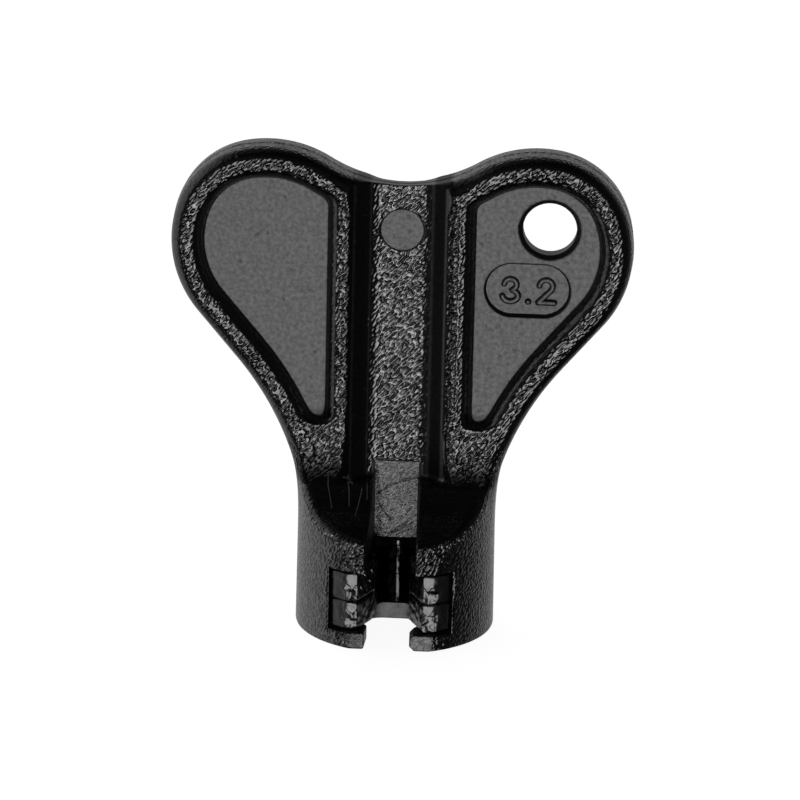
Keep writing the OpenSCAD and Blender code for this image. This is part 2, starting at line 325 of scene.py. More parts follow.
def channelField(signedX, y, z):
    # The channel down the middle of both faces: a flat floor, a shallow bevel and a steep wall
    s, soft = handleSize, handleSize["soft"]
    x, thick = np.abs(signedX), np.abs(y)
    bevel = math.radians(s["bevelTilt"])
    wall = np.radians(np.where(signedX < 0, *s["wallTilt"]))
    channelFloor = s["webThickness"] / 2
    wallFoot = channelFloor + (s["wallFootX"] - s["floorWidth"] / 2) * math.tan(bevel)
    bevelLine = (channelFloor - thick) * math.cos(bevel) + (x - s["floorWidth"] / 2) * math.sin(bevel)
    wallLine = (wallFoot - thick) * np.cos(wall) + (x - s["wallFootX"]) * np.sin(wall)
    channel = smoothMax(smoothMax(channelFloor - thick, bevelLine, soft["floor"]), wallLine, soft["wall"])
    return smoothMax(channel, s["channelLow"] - z, soft["channelEnd"])


def scoopGap(y, z):
    # How far a point lies outside the nearer scoop
    s = handleSize
    return np.hypot(np.abs(y) - s["scoopY"], np.minimum(z - s["scoopTop"], 0)) - s["scoopRadius"]


def barrelField(signedX, y, z):
    s, soft = handleSize, handleSize["soft"]
    taper = math.tan(math.radians(s["barrelDraft"]))
    barrel = smoothMax(np.hypot(signedX, y) - s["barrelRadius"] + z * taper, -z, soft["foot"])
    thinning, shoulderHeight = s["shoulder"]
    above = np.maximum(z - s["scoopTop"], 0)
    barrel = smoothMax(barrel, -scoopGap(y, z) + thinning * above ** 2, soft["scoop"])
    return np.maximum(barrel, above - shoulderHeight)


def cutJaw(body, signedX, y, z):
    # The slot for the spoke, the seat for the nipple and the pocket for the steel
    s, soft = handleSize, handleSize["soft"]
    x = np.abs(signedX)
    slotBackY = (s["webThickness"] + s["stopProud"]) / 2
    spread = (s["slotFront"] - s["slotBack"]) / 2 / (s["barrelRadius"] - slotBackY)
    rightEnd = (signedX > 0) * (y < -s["ringFront"]) * fade(z, s["platesLow"] + 0.05, -0.05)
    slot = x + s["ringEnd"][1] * rightEnd - s["slotBack"] / 2 + (y + slotBackY) * spread
    slot = np.maximum(np.maximum(slot, y + slotBackY), z - s["slotTop"])
    body = smoothMax(body, -slot, soft["slot"])
    seat = np.hypot(x, np.maximum(y + s["jawGap"] / 2, 0)) - s["jawGap"] / 2
    seat = np.maximum(np.maximum(seat, z - s["stopLow"]), s["platesTop"] - s["seatSink"] - z)
    body = smoothMax(body, -seat, soft["seat"])
    halfPocket = s["plateWidth"] / 2 + s["plateGap"]
    middle = (s["platesLow"] + s["platesTop"]) / 2
    halfTall = (s["platesTop"] - s["platesLow"]) / 2
    pocket = np.maximum(np.maximum(x - halfPocket, y - s["plateBack"]), np.abs(z - middle) - halfTall)
    below, above = s["relief"]
    relief = np.maximum(z - s["platesTop"] - above, s["platesLow"] - below - z)
    relief = np.maximum(np.maximum(x - halfPocket, y + s["reliefY"]), relief)
    return smoothMax(body, -np.minimum(pocket, relief), soft["pocket"])


def cutFootRing(body, signedX, y, z):
    # The hole under the steel, the chamfer on the ring's right end and the flats on both ends
    s, soft = handleSize, handleSize["soft"]
    x = np.abs(signedX)
    halfX, back, front, corner = s["ringHole"]
    holeX = np.maximum(x - halfX + corner, 0)
    holeY = np.maximum(np.abs(y + (front + back) / 2) - (front - back) / 2 + corner, 0)
    hole = np.maximum(np.hypot(holeX, holeY) - corner, z - (s["platesLow"] + s["platesTop"]) / 2)
    body = smoothMax(body, -hole, soft["ring"])
    endX, _, endChamfer = s["ringEnd"]
    chamfer = endChamfer - (signedX - endX) - np.minimum(z, s["platesLow"] - z)
    chamfer = np.minimum(chamfer, np.minimum(signedX, s["platesLow"] + 0.1 - z))
    body = np.maximum(body, np.minimum(chamfer, -s["ringFront"] - y) * 0.7)     # 0.7 evens its slope
    flatX, flatY = s["ringFlat"]
    flat = np.maximum(np.maximum(x - flatX, y + flatY), z - s["platesLow"] - 0.2)
    return smoothMax(body, -flat, soft["ring"])


def shallowMark(across, below, depth):
    # A recess with sloped sides, from the distances outside its rim and below the face
    slope = math.radians(handleSize["markSlope"])
    return np.maximum(across * math.cos(slope) + below * math.sin(slope), below - depth)


def cutMarks(body, signedX, y, z):
    # The hanging hole with its chamfers, the recessed plate for the size and the ejector's mark
    s, soft = handleSize, handleSize["soft"]
    holeX, holeZ, holeRadius = s["hangHole"]
    reach = np.hypot(signedX - holeX, z - holeZ)
    flare = np.maximum(np.abs(y) - s["panelThickness"] / 2 + s["hangChamfer"], 0)
    body = smoothMax(body, (holeRadius + flare - reach) * 0.8, soft["hangHole"])    # 0.8 evens its slope
    tagX, tagZ, tagLength, tagHeight, tagDepth = s["tag"]
    tag = np.maximum(np.abs(signedX - tagX) - (tagLength - tagHeight) / 2, 0)
    tag = np.hypot(tag, z - tagZ) - tagHeight / 2
    tag = shallowMark(tag, y + s["panelThickness"] / 2, tagDepth - s["tagTilt"] * (z - tagZ))
    body = smoothMax(body, -tag, soft["mark"])
    markZ, markRadius, markDepth = s["ejector"]
    mark = np.hypot(signedX, z - markZ) - markRadius
    mark = shallowMark(mark, y + s["webThickness"] / 2, markDepth)
    return smoothMax(body, -mark, soft["mark"])


def addStop(body, signedX, y, z):
    # The stop that keeps the nipple down in the jaw, with a groove along its top
    s, soft = handleSize, handleSize["soft"]
    beside = np.abs(signedX) - s["stopWidth"] / 2
    middle = (s["stopLow"] + s["stopTop"]) / 2
    stop = np.maximum(beside, np.abs(z - middle) - (s["stopTop"] - s["stopLow"]) / 2)
    stop = smoothMax(stop, -y - s["webThickness"] / 2 - s["stopProud"], soft["stop"])
    groove = np.maximum(beside - s["stopGroove"], y + s["grooveY"])
    groove = np.maximum(np.abs(z - s["stopTop"]) - s["stopGroove"], groove)
    body = smoothMax(body, -groove, soft["groove"])
    return np.minimum(body, np.maximum(stop, y))


def handleField(points):
    soft = handleSize["soft"]
    signedX, y, z = points.T
    beads, wing = wingFields(np.abs(signedX), y, z)
    barrel = barrelField(signedX, y, z)
    body = np.minimum(smoothMin(wing, barrel, soft["barrel"]), smoothMin(beads, barrel, soft["beadFoot"]))
    body = smoothMax(body, -channelField(signedX, y, z), soft["lip"])
    for change in (cutJaw, cutFootRing, cutMarks, addStop):
        body = change(body, signedX, y, z)
    return body


# Finish of the handle, zone by zone: how coarse its grain is and how much light it returns, which in many
# zones is painted shade.
# The small lengths added to a zone carry it just past the rounded edge of its form.

handleFinish = {
    "grain": {
        "slope": 0.12, "side": 0.4, "channelFloor": (0.3, 0.9), "channelWall": 0.03,
        "barrel": 0.48, "scoop": 0.2, "foot": 0.3,
    },
    "glossAndPaintedShade": {
        "seat": 0.01, "inScoop": 0.6, "besideSlot": 0.4, "cut": 0.5, "stop": 1.2, "stopPaintedShade": 0.9,
        "ringFlat": (0.8, 1.2), "channelWall": (0.8, 0.9), "flank": 0.35,
        "outside": 0.8, "outsideLow": 0.2, "panelSide": 0.25,
    },
    "brushed": {"stop": 1.0, "ringFlat": 0.8},
}


def inScoop(points, top):
    # 1 well inside the two scoops above the barrel and below this height, 0 outside them
    y, z = points[:, 1], points[:, 2]
    beyondWeb = fade(np.abs(y) - handleSize["webThickness"] / 2, 0.3, 0.5)
    return fade(scoopGap(y, z), 0.35, -0.3) * beyondWeb * fade(z, top, -0.8)


def grainAt(points, slopes):
    # How coarse the mould's spark-eroded grain is: 1 on crests and floors, 0 where it is polished
    s, level = handleSize, handleFinish["grain"]
    signedX, y, z = points.T
    x, thick = np.abs(signedX), np.abs(y)
    radius = np.hypot(x, y)
    facing = np.abs(slopes[:, 1])
    grain = np.maximum(fade(facing, 0.9, 0.09, level["slope"]), fade(facing, 0.55, -0.3, 0, level["side"]))
    inChannel = (x < s["lipX"] - 0.02) & (thick < s["bodyThickness"] / 2 - 0.05) & (z > s["channelLow"])
    onFloor = fade(facing, 0.955, 0.03, *level["channelFloor"])
    grain = np.where(inChannel, np.where(facing > 0.9, onFloor, level["channelWall"]), grain)
    gap = scoopGap(y, z)
    onBarrel = (radius > s["barrelRadius"] - 0.6) & (z < s["scoopTop"]) & (gap > 0)
    besideCuts = np.maximum(fade(x, 5.6, -1.6) * (y < 0), fade(gap, 1.7, -1.2))
    grain = np.where(onBarrel, np.maximum(level["barrel"], besideCuts), grain)
    grain = np.where(inScoop(points, s["scoopBlackTop"]) > 0, level["scoop"], grain)
    grain = np.where(z < 0.1, level["foot"], grain)

    panel = (depthInWing(x, z) > 0) & (x > s["ribX"]) & (z > s["panelLow"] - 1)
    panel &= thick < s["panelThickness"] / 2 + 0.06
    holeX, holeZ, holeRadius = s["hangHole"]
    hole = np.hypot(signedX - holeX, z - holeZ) < holeRadius + s["hangChamfer"] + 0.15
    markZ, markRadius, _ = s["ejector"]
    mark = (np.hypot(x, z - markZ) < markRadius + 0.03) & (y < 0) & (thick < 1.2)
    stop = (x < s["stopWidth"] / 2 + 0.03) & (z < s["stopTop"] + 0.03) & within(y, -1.2, 0)
    front = (y < 0) & (radius < s["barrelRadius"] - 0.2)
    slot = (x < s["slotFront"] / 2 + 0.05) & (z < s["slotTop"])
    slot &= front & (radius < s["barrelRadius"] - 0.25)
    window = (x < s["plateWidth"] / 2 + 0.3) & front & (z < s["platesTop"] + 0.35)
    flatX, flatY = s["ringFlat"]
    ringFlat = (x < flatX + 0.05) & within(y, -flatY - 0.06, 0) & (z < s["platesLow"] + 0.2)
    return np.where(panel | hole | mark | stop | slot | window | ringFlat, 0.0, grain)


def glossAndPaintedShadeAt(points, slopes):
    # How much light the surface returns, mostly painted shade: little in the scoops, next to none around
    # the jaw's back
    s, level = handleSize, handleFinish["glossAndPaintedShade"]
    signedX, y, z = points.T
    x, thick = np.abs(signedX), np.abs(y)
    # painted shade: the scoops return little light
    glossAndPaintedShade = 1 - level["inScoop"] * inScoop(points, s["scoopBlackTop"] + 0.8)
    besideSlot = within(z, s["platesTop"] + 0.2, s["scoopTop"]) & (y < -4) & (scoopGap(y, z) > 0)
    glossAndPaintedShade = np.where(besideSlot, 1 - level["besideSlot"] * fade(x, 6, -1.5), glossAndPaintedShade)
    slotWall = within(x, s["slotBack"] / 2 - 0.05, s["slotFront"] / 2 + 0.1)
    slotWall &= (y < -1.2) & (z < s["slotTop"])
    window = within(x, s["slotFront"] / 2, s["plateWidth"] / 2 + 0.35)
    window &= (y < -5) & within(z, s["platesLow"] - 0.3, s["platesTop"] + 0.3)
    glossAndPaintedShade = np.where(slotWall | window, level["cut"], glossAndPaintedShade)
    onStop = (x < s["stopWidth"] / 2 + 0.05) & within(y, -1, 0) & within(z, s["stopLow"], s["stopTop"])
    # painted shade darkens the stop towards its lower left corner
    paintedShadeOnStop = fade(np.hypot(signedX + 2.3, (z - s["stopLow"]) * 0.8), 1.4, -1)
    glossAndPaintedShade = np.where(onStop, level["stop"] - level["stopPaintedShade"] * paintedShadeOnStop, glossAndPaintedShade)
    flatX, flatY = s["ringFlat"]
    ringFlat = (x < flatX) & (y < 1.5 - flatY) & (z < s["platesLow"])
    # painted shade on the left flat and a painted highlight on the right one
    glossAndPaintedShade = np.where(ringFlat, np.where(signedX < 0, *level["ringFlat"]), glossAndPaintedShade)

    # painted shade down both channel walls
    crest = s["bodyThickness"] / 2 - s["lipDrop"]
    wall = fade(x, s["wallFootX"] - 0.15, 0.3) * fade(thick, crest - 0.12, -0.1)
    wall *= (x < s["lipX"] + 0.18) & (z > s["channelLow"])
    glossAndPaintedShade = glossAndPaintedShade * (1 - np.where(signedX < 0, *level["channelWall"]) * wall)
    # painted shade on the ribs' slopes next to the channel
    flank = within(x, s["lipX"], s["ribX"]) & (thick > crest - 0.05) & (z > s["channelLow"])
    glossAndPaintedShade = np.where(flank, glossAndPaintedShade * fade(x, 5.0, 0.3, level["flank"]), glossAndPaintedShade)
    # painted shade: outside the channel the wing faces return less light, darkening down towards the
    # scoops
    outside = (x > s["lipX"]) & (z > s["scoopTop"] - 4)
    faded = fade(z, s["channelLow"] + 0.2, 3.4, level["outsideLow"])
    glossAndPaintedShade = np.where(outside, glossAndPaintedShade * level["outside"] * faded, glossAndPaintedShade)
    facing = np.abs(slopes[:, 1])
    # painted shade on the sloped sides of the panels; their flat faces return full light
    onPanel = (x > s["ribX"] + 1.6) & (z > s["panelLow"] + 1) & (thick < s["panelThickness"] / 2 + 0.02)
    onPanel &= depthInWing(x, z) > 1.6
    glossAndPaintedShade = np.where(onPanel, np.where(within(facing, 0.25, 0.88), level["panelSide"], 1.0), glossAndPaintedShade)
    # painted shade: the seat at the jaw's back returns next to no light
    seat = (x < 2.4) & within(y, -7.5, 0.1) & within(z, s["platesTop"] - 1.2, s["stopLow"] + 0.02)
    return np.where(seat, level["seat"], glossAndPaintedShade)


def brushedAt(points):
    # 1 where spokes and the trimmed gate have brushed the plastic: the stop and the foot ring's flats
    s, level = handleSize, handleFinish["brushed"]
    x, y, z = np.abs(points[:, 0]), points[:, 1], points[:, 2]
    stop = (x < s["stopWidth"] / 2) & within(y, -1.05, 0) & within(z, s["stopLow"], s["stopTop"])
    flatX, flatY = s["ringFlat"]
    ringFlat = (x < flatX) & within(y, -flatY - 0.05, 2 - flatY) & (z < s["platesLow"])
    return np.select([stop, ringFlat], [level["stop"], level["ringFlat"]], 0.0)


def gridLines(*stretches):
    # (from, to, step) stretches joined to one line of grid places
    places = [np.arange(low, high, step) for low, high, step in stretches]
    return np.unique(np.round(np.concatenate(places), 4))


# The grid is finer at the web, the foot ring, the slot's right wall, the stop's top and the size
# plate's rim. Small shifts keep its lines from lying in a flat face.
gridStep = 0.298
fineStep = 0.14
gridShift, faceShift = 0.003, 0.021
handleGrid = (
    gridLines((-22.8, 1.8, gridStep), (1.83, 2.9, 0.13), (2.95, 8.0, gridStep), (8.1, 8.9, fineStep),
              (9.0, 15.8, gridStep), (15.9, 16.9, fineStep), (17.1, 22.9, gridStep)) + gridShift,
    gridLines((-10.2, -3, 0.29), (-3, -1.4, 0.2), (-1.4, -0.6, 0.1), (-0.6, -0.2, 0.2), (-0.2, 0.25, 0.1),
              (0.4, 0.8, 0.2), (0.8, 1.4, 0.15), (1.4, 3, 0.2), (3, 10.3, 0.29)) + faceShift,
    gridLines((-0.4, 1.95, 0.14), (2.0, 16.7, gridStep), (16.74, 17.15, 0.06), (17.2, 32.1, gridStep),
              (32.2, 33.1, fineStep), (33.3, 37.2, gridStep), (37.3, 38.1, fineStep),
              (38.3, 49.3, gridStep)) + gridShift,
)
vertices, faces = surfaceOf(handleField, handleGrid)
handlePiece = meshPiece("handleMoulding", vertices, faces)
points, slopes = shadeFrom(handlePiece, handleField)
markCorners(handlePiece, "grain", grainAt(points, slopes))
markCorners(handlePiece, "glossAndPaintedShade", glossAndPaintedShadeAt(points, slopes))
markCorners(handlePiece, "brushed", brushedAt(points))
print("handle:", len(faces), "faces")


# Jaw plates: stamped from 3 mm steel, smooth at the top of each cut edge and torn in a V below.

plateSize = {
    "radius": 9.4, "halfWidth": 5.95, "landY": 8.4, "backY": 3.5, "thickness": 2.975,
    "low": {"upper_jaw_plate": 4.725, "lower_jaw_plate": 1.75},
    "tearTop": {"upper_jaw_plate": 1.35, "lower_jaw_plate": 1.75},
    "jawGap": 3.3, "lipY": 5.0, "mouthAngle": 50,
    "backCorner": 0.4, "lipCorner": 0.4, "jawEdge": 0.05, "sideEdge": 0.3, "landEdge": 0.1,
    "edge": (0.34, 0.08),                                   # of the outside and of the jaw
    "tearVee": (3.72, 0.5, 0.55), "tearWave": (0.06, 11.0, 3), "tearDepth": 0.1, "tearFade": 0.16,
    "burrs": ((-1.98, -5.75, 7.1, 0.15), (-2.16, -6.05, 6.2, 0.13), (-2.66, -7.2, 7.35, 0.22),
              (-2.9, -7.7, 6.0, 0.15)),                     # x, y, z and radius
    "burrLean": 0.5, "burrReach": 0.25,
    "dents": {"torn": 1.0, "land": 0.35, "mouth": 0.6, "elsewhere": 0.16},
}


def plateField(points, low, tearTop):
    s = plateSize
    signedX, y, z = points[:, 0], points[:, 1], points[:, 2] - low
    x = np.abs(signedX)
    half = math.radians(s["mouthAngle"] / 2)
    guide = np.hypot(x, np.maximum(y + s["jawGap"] / 2, 0)) - s["jawGap"] / 2
    mouth = (x - s["jawGap"] / 2) * math.cos(half) + (y + s["lipY"]) * math.sin(half)
    outer = np.hypot(signedX, y) - s["radius"]
    land = -y - s["landY"]
    plan = smoothMax(x - s["halfWidth"], y - s["backY"], s["backCorner"])
    plan = smoothMax(plan, -smoothMin(guide, mouth, s["lipCorner"]), s["jawEdge"])
    plan = smoothMax(plan, outer, s["sideEdge"])
    plan = smoothMax(plan, land, s["landEdge"])

    veeX, veeHalf, veeRise = s["tearVee"]
    waveHeight, waveTurn, waveStart = s["tearWave"]
    line = tearTop + veeRise * np.minimum(np.abs(x - veeX) / veeHalf, 1.2)
    line += waveHeight * np.sin(signedX * waveTurn + low * waveStart)
    onLand = fade(land, -0.12, 0.08)
    onFront = fade(np.maximum(outer, land), -0.2, 0.1)
    plan += s["tearDepth"] * fade(z, line, -s["tearFade"]) * np.maximum(onLand, 0.2 * onFront)
    for burrX, burrY, burrZ, burrRadius in s["burrs"]:
        dx, dy, dz = signedX - burrX, y - burrY, points[:, 2] - burrZ
        reach = np.sqrt((dx + s["burrLean"] * dz) ** 2 + dy ** 2 + s["burrReach"] * dz ** 2)
        plan = np.minimum(plan, reach - burrRadius)
    inJaw = (x < s["jawGap"] / 2 + 0.2) & (y > -s["lipY"])
    edge = np.where(inJaw, s["edge"][1], s["edge"][0])
    return smoothMax(plan, np.abs(z - s["thickness"] / 2) - s["thickness"] / 2, edge)


plateStep = 0.11
plates = []
for node, low in plateSize["low"].items():
    tearTop = plateSize["tearTop"][node]
    field = partial(plateField, low=low, tearTop=tearTop)
    plateGrid = (
        gridLines((-6.2, 6.4, plateStep)) + gridShift,
        gridLines((-9.0, 4.0, plateStep)) + gridShift,
        gridLines((low - 0.3, low + 3.5, 0.11)) + gridShift,
    )
    vertices, faces = surfaceOf(field, plateGrid)
    piece = meshPiece(node.replace("_jaw_plate", "JawSteel"), vertices, faces)
    points, slopes = shadeFrom(piece, field)
    x, y, z = np.abs(points[:, 0]), points[:, 1], points[:, 2]
    inJaw = (x < plateSize["jawGap"] / 2 + 0.1) & (y > -plateSize["lipY"] - 0.1)
    # painted shade: inside the jaw the steel's colour is dimmed to next to nothing
    markCorners(piece, "glossAndPaintedShade", np.where(inJaw, 0.01, 1.0))
    onLand = y < -plateSize["landY"] + 0.3
    torn = onLand & (z - low < tearTop + 0.1)
    inMouth = (y > -plateSize["landY"] + 0.1) & (x < 3.3)
    dents = plateSize["dents"]
    zones = np.select([torn, onLand, inMouth], [dents["torn"], dents["land"], dents["mouth"]],
                      dents["elsewhere"])
    markCorners(piece, "torn", zones)
    plates.append((piece, node))
    print(node + ":", len(faces), "faces")


# Size number: raised strokes on the recessed plate, each a path with a round section partly sunk

numberSize = {
    "strokeRadius": 0.33, "proud": 0.28, "baseline": 33.87, "middle": 35.05, "top": 36.2,
    "three": {"left": 9.89, "right": 11.43, "upperRight": 11.27, "turns": ((178, -78), (78, -176))},
    "two": {"left": 13.42, "right": 14.85, "bowl": 0.65, "bowlInset": 0.06, "turn": (176, -38),
            "footReach": 0.1},
    "point": (12.4, 0.04, 0.02),                            # place, rise and length
    "glossAndPaintedShade": (0.24, -0.2, 0.15, 1.05),                      # fades from the crest down
}


def arcPath(centreX, centreZ, radiusX, radiusZ, start, end, steps=12):
    turns = [math.radians(start + (end - start) * k / steps) for k in range(steps + 1)]
    return [(centreX + radiusX * math.cos(a), centreZ + radiusZ * math.sin(a)) for a in turns]


def numberPaths(size):
    three, two, baseline = size["three"], size["two"], size["baseline"]
    upper = (size["top"] - size["middle"]) / 2
    lower = (size["middle"] - baseline) / 2
    threeX = (three["left"] + three["right"]) / 2
    upperRadius = three["upperRight"] - threeX
    lowerRadius = (three["right"] - three["left"]) / 2
    stroke3 = arcPath(threeX, size["middle"] + upper, upperRadius, upper, *three["turns"][0])
    stroke3 += arcPath(threeX, size["middle"] - lower, lowerRadius, lower, *three["turns"][1])
    bowlX = (two["left"] + two["right"]) / 2
    bowlRadius = (two["right"] - two["left"]) / 2 - two["bowlInset"]
    stroke2 = arcPath(bowlX, size["top"] - two["bowl"], bowlRadius, two["bowl"], *two["turn"])
    stroke2 += [(two["left"], baseline)]
    foot2 = [(two["left"], baseline), (two["right"] + two["footReach"], baseline)]
    pointX, pointRise, pointLength = size["point"]
    point = [(pointX, baseline + pointRise), (pointX + pointLength, baseline + pointRise)]
    return [stroke3, stroke2, foot2, point]


# Materials

def hexColour(text):
    # sRGB hex to the linear colour that the shaders work in
    parts = [int(text[i:i + 2], 16) / 255 for i in (1, 3, 5)]
    return [c / 12.92 if c <= 0.04045 else ((c + 0.055) / 1.055) ** 2.4 for c in parts] + [1.0]


def addNode(tree, kind, inputs=None, **settings):
    # Inputs that are (node, output) pairs are linked, and other values are set on the socket.
    family = "" if kind.startswith("NodeGroup") else tree.bl_idname.removesuffix("Tree")
    new = tree.nodes.new(family + kind)
    for key, value in settings.items():
        setattr(new, key, value)
    for key, value in (inputs or {}).items():
        if isinstance(value, tuple) and isinstance(value[0], bpy.types.Node):
            tree.links.new(value[0].outputs[value[1]], new.inputs[key])
        else:
            new.inputs[key].default_value = value
    return new


def newMaterial(name):
    material = bpy.data.materials.new(name)
    material.use_nodes = True
    tree = material.node_tree
    tree.nodes.clear()
    return material, tree


nylonLook = {
    "colour": "#101011", "ior": 1.6, "specular": 1.0,
    "polishedRoughness": 0.53, "grainRoughness": 0.16, "grainStart": 0.07,
    "grainWidth": 0.22, "grainHeight": 0.27, "grainTurn": 45, "grainStretch": 2.2,
    "ridges": (0.35, 1.9), "ridgeSpan": (0.36, 0.64),
    "brushWidth": 0.13, "brushHeight": 0.15, "brushTurn": 52, "brushStretch": 4, "brushRoughness": -0.24,
    "rippleWidth": 0.5, "rippleHeight": 0.006,
    "speckWidth": 1.2, "speckHeight": 0.03, "speckSpan": (0.07, 0.18),
    "mottleWidth": 0.4, "mottle": (0.72, 1.2), "mottleSpan": (0.35, 0.65),
    "scratchHeight": 0.09, "scuffColour": "#626264",
}

# Scratches that spokes have left on the stop, as (from x, z, to x, z, width)
scratches = (
    (-1.94, 13.38, -0.57, 14.39, 0.06), (-0.57, 14.39, 0.91, 14.98, 0.06), (0.3, 14.93, 1.2, 15.1, 0.07),
    (0.91, 14.98, 2.25, 15.3, 0.055), (-1.88, 12.86, -1.41, 11.93, 0.055),
    (-1.41, 11.93, -0.75, 11.06, 0.05), (-0.66, 9.3, 1.1, 10.6, 0.06), (-0.36, 9.3, 1.6, 10.5, 0.055),
    (0.1, 9.2, 1.5, 9.95, 0.05), (-0.55, 10.9, -0.3, 10.82, 0.07), (1.0, 11.4, 1.5, 12.2, 0.04),
    (-1.8, 10.9, -1.2, 10.1, 0.05),
)
scratchY = (-0.85, 0.2)                 # the middle of their range in Y, and half of it

# Pale scuffs in the left scoop, given the same way
scuffs = (
    (-6.67, 16.2, -6.6, 15.0, 0.035), (-6.6, 15.0, -6.1, 13.2, 0.035), (-4.72, 15.75, -4.5, 14.6, 0.04),
    (-4.5, 14.6, -4.4, 13.4, 0.035), (-3.25, 14.84, -3.45, 13.8, 0.035), (-3.45, 13.8, -3.75, 12.7, 0.03),
    (-5.16, 15.64, -4.2, 15.3, 0.05), (-2.84, 16.5, -2.69, 14.0, 0.03),
)
scuffY = (-4.5, 2.5)
scratchFade = (0.5, 1.6)                # where a line starts and ends to fade, in its own widths
# a painted highlight line down the back of the jaw: its x, half width, fade and ranges in y and z
paintedHighlightLine = {"x": 0.26, "halfWidth": 0.12, "fade": (0.7, 1.3), "y": (-0.1, 0.45), "z": (4.97, 3.25)}


def scratchMask(tree, place, lines, middleY, halfY):
    # 1 on a scratch: how near a point is to each one's own stretch of line, seen along Y
    seen = addNode(tree, "VectorMath", {0: (place, "Object"), 1: (1, 0, 1)}, operation="MULTIPLY")
    mask = None
    for startX, startZ, endX, endZ, width in lines:
        length = math.hypot(endX - startX, endZ - startZ)
        along = ((endX - startX) / length, 0, (endZ - startZ) / length)
        start = (startX * mm, 0, startZ * mm)
        offset = addNode(tree, "VectorMath", {0: (seen, 0), 1: start}, operation="SUBTRACT")
        reach = addNode(tree, "VectorMath", {0: (offset, 0), 1: along}, operation="DOT_PRODUCT")
        held = addNode(tree, "Clamp", {"Value": (reach, "Value"), "Min": 0.0, "Max": length * mm})
        nearest = addNode(tree, "VectorMath", {0: along, "Scale": (held, 0)}, operation="SCALE")
        gap = addNode(tree, "VectorMath", {0: (offset, 0), 1: (nearest, 0)}, operation="DISTANCE")
        fadeFrom, fadeTo = (width * share * mm for share in scratchFade)
        near = addNode(tree, "MapRange", {0: (gap, "Value"), 1: fadeFrom, 2: fadeTo, 3: 1.0, 4: 0.0})
        if mask is None:
            mask = near
        else:
            mask = addNode(tree, "Math", {0: (mask, 0), 1: (near, 0)}, operation="MAXIMUM")
    split = addNode(tree, "SeparateXYZ", {0: (place, "Object")})
    onFace = addNode(tree, "Math", {0: (split, 1), 1: middleY * mm, 2: halfY * mm}, operation="COMPARE")
    return addNode(tree, "Math", {0: (mask, 0), 1: (onFace, 0)}, operation="MULTIPLY")


def paintedHighlightMask(tree, place):
    # 1 on a thin painted highlight line down the back of the jaw
    split = addNode(tree, "SeparateXYZ", {0: (place, "Object")})
    offset = addNode(tree, "Math", {0: (split, 0), 1: paintedHighlightLine["x"] * mm}, operation="SUBTRACT")
    away = addNode(tree, "Math", {0: (offset, 0)}, operation="ABSOLUTE")
    fadeFrom, fadeTo = (paintedHighlightLine["halfWidth"] * mm * share for share in paintedHighlightLine["fade"])
    mask = addNode(tree, "MapRange", {0: (away, 0), 1: fadeFrom, 2: fadeTo, 3: 1.0, 4: 0.0})
    for axis, key in ((1, "y"), (2, "z")):
        middle, half = paintedHighlightLine[key]
        here = addNode(tree, "Math", {0: (split, axis), 1: middle * mm, 2: half * mm}, operation="COMPARE")
        mask = addNode(tree, "Math", {0: (mask, 0), 1: (here, 0)}, operation="MULTIPLY")
    return mask


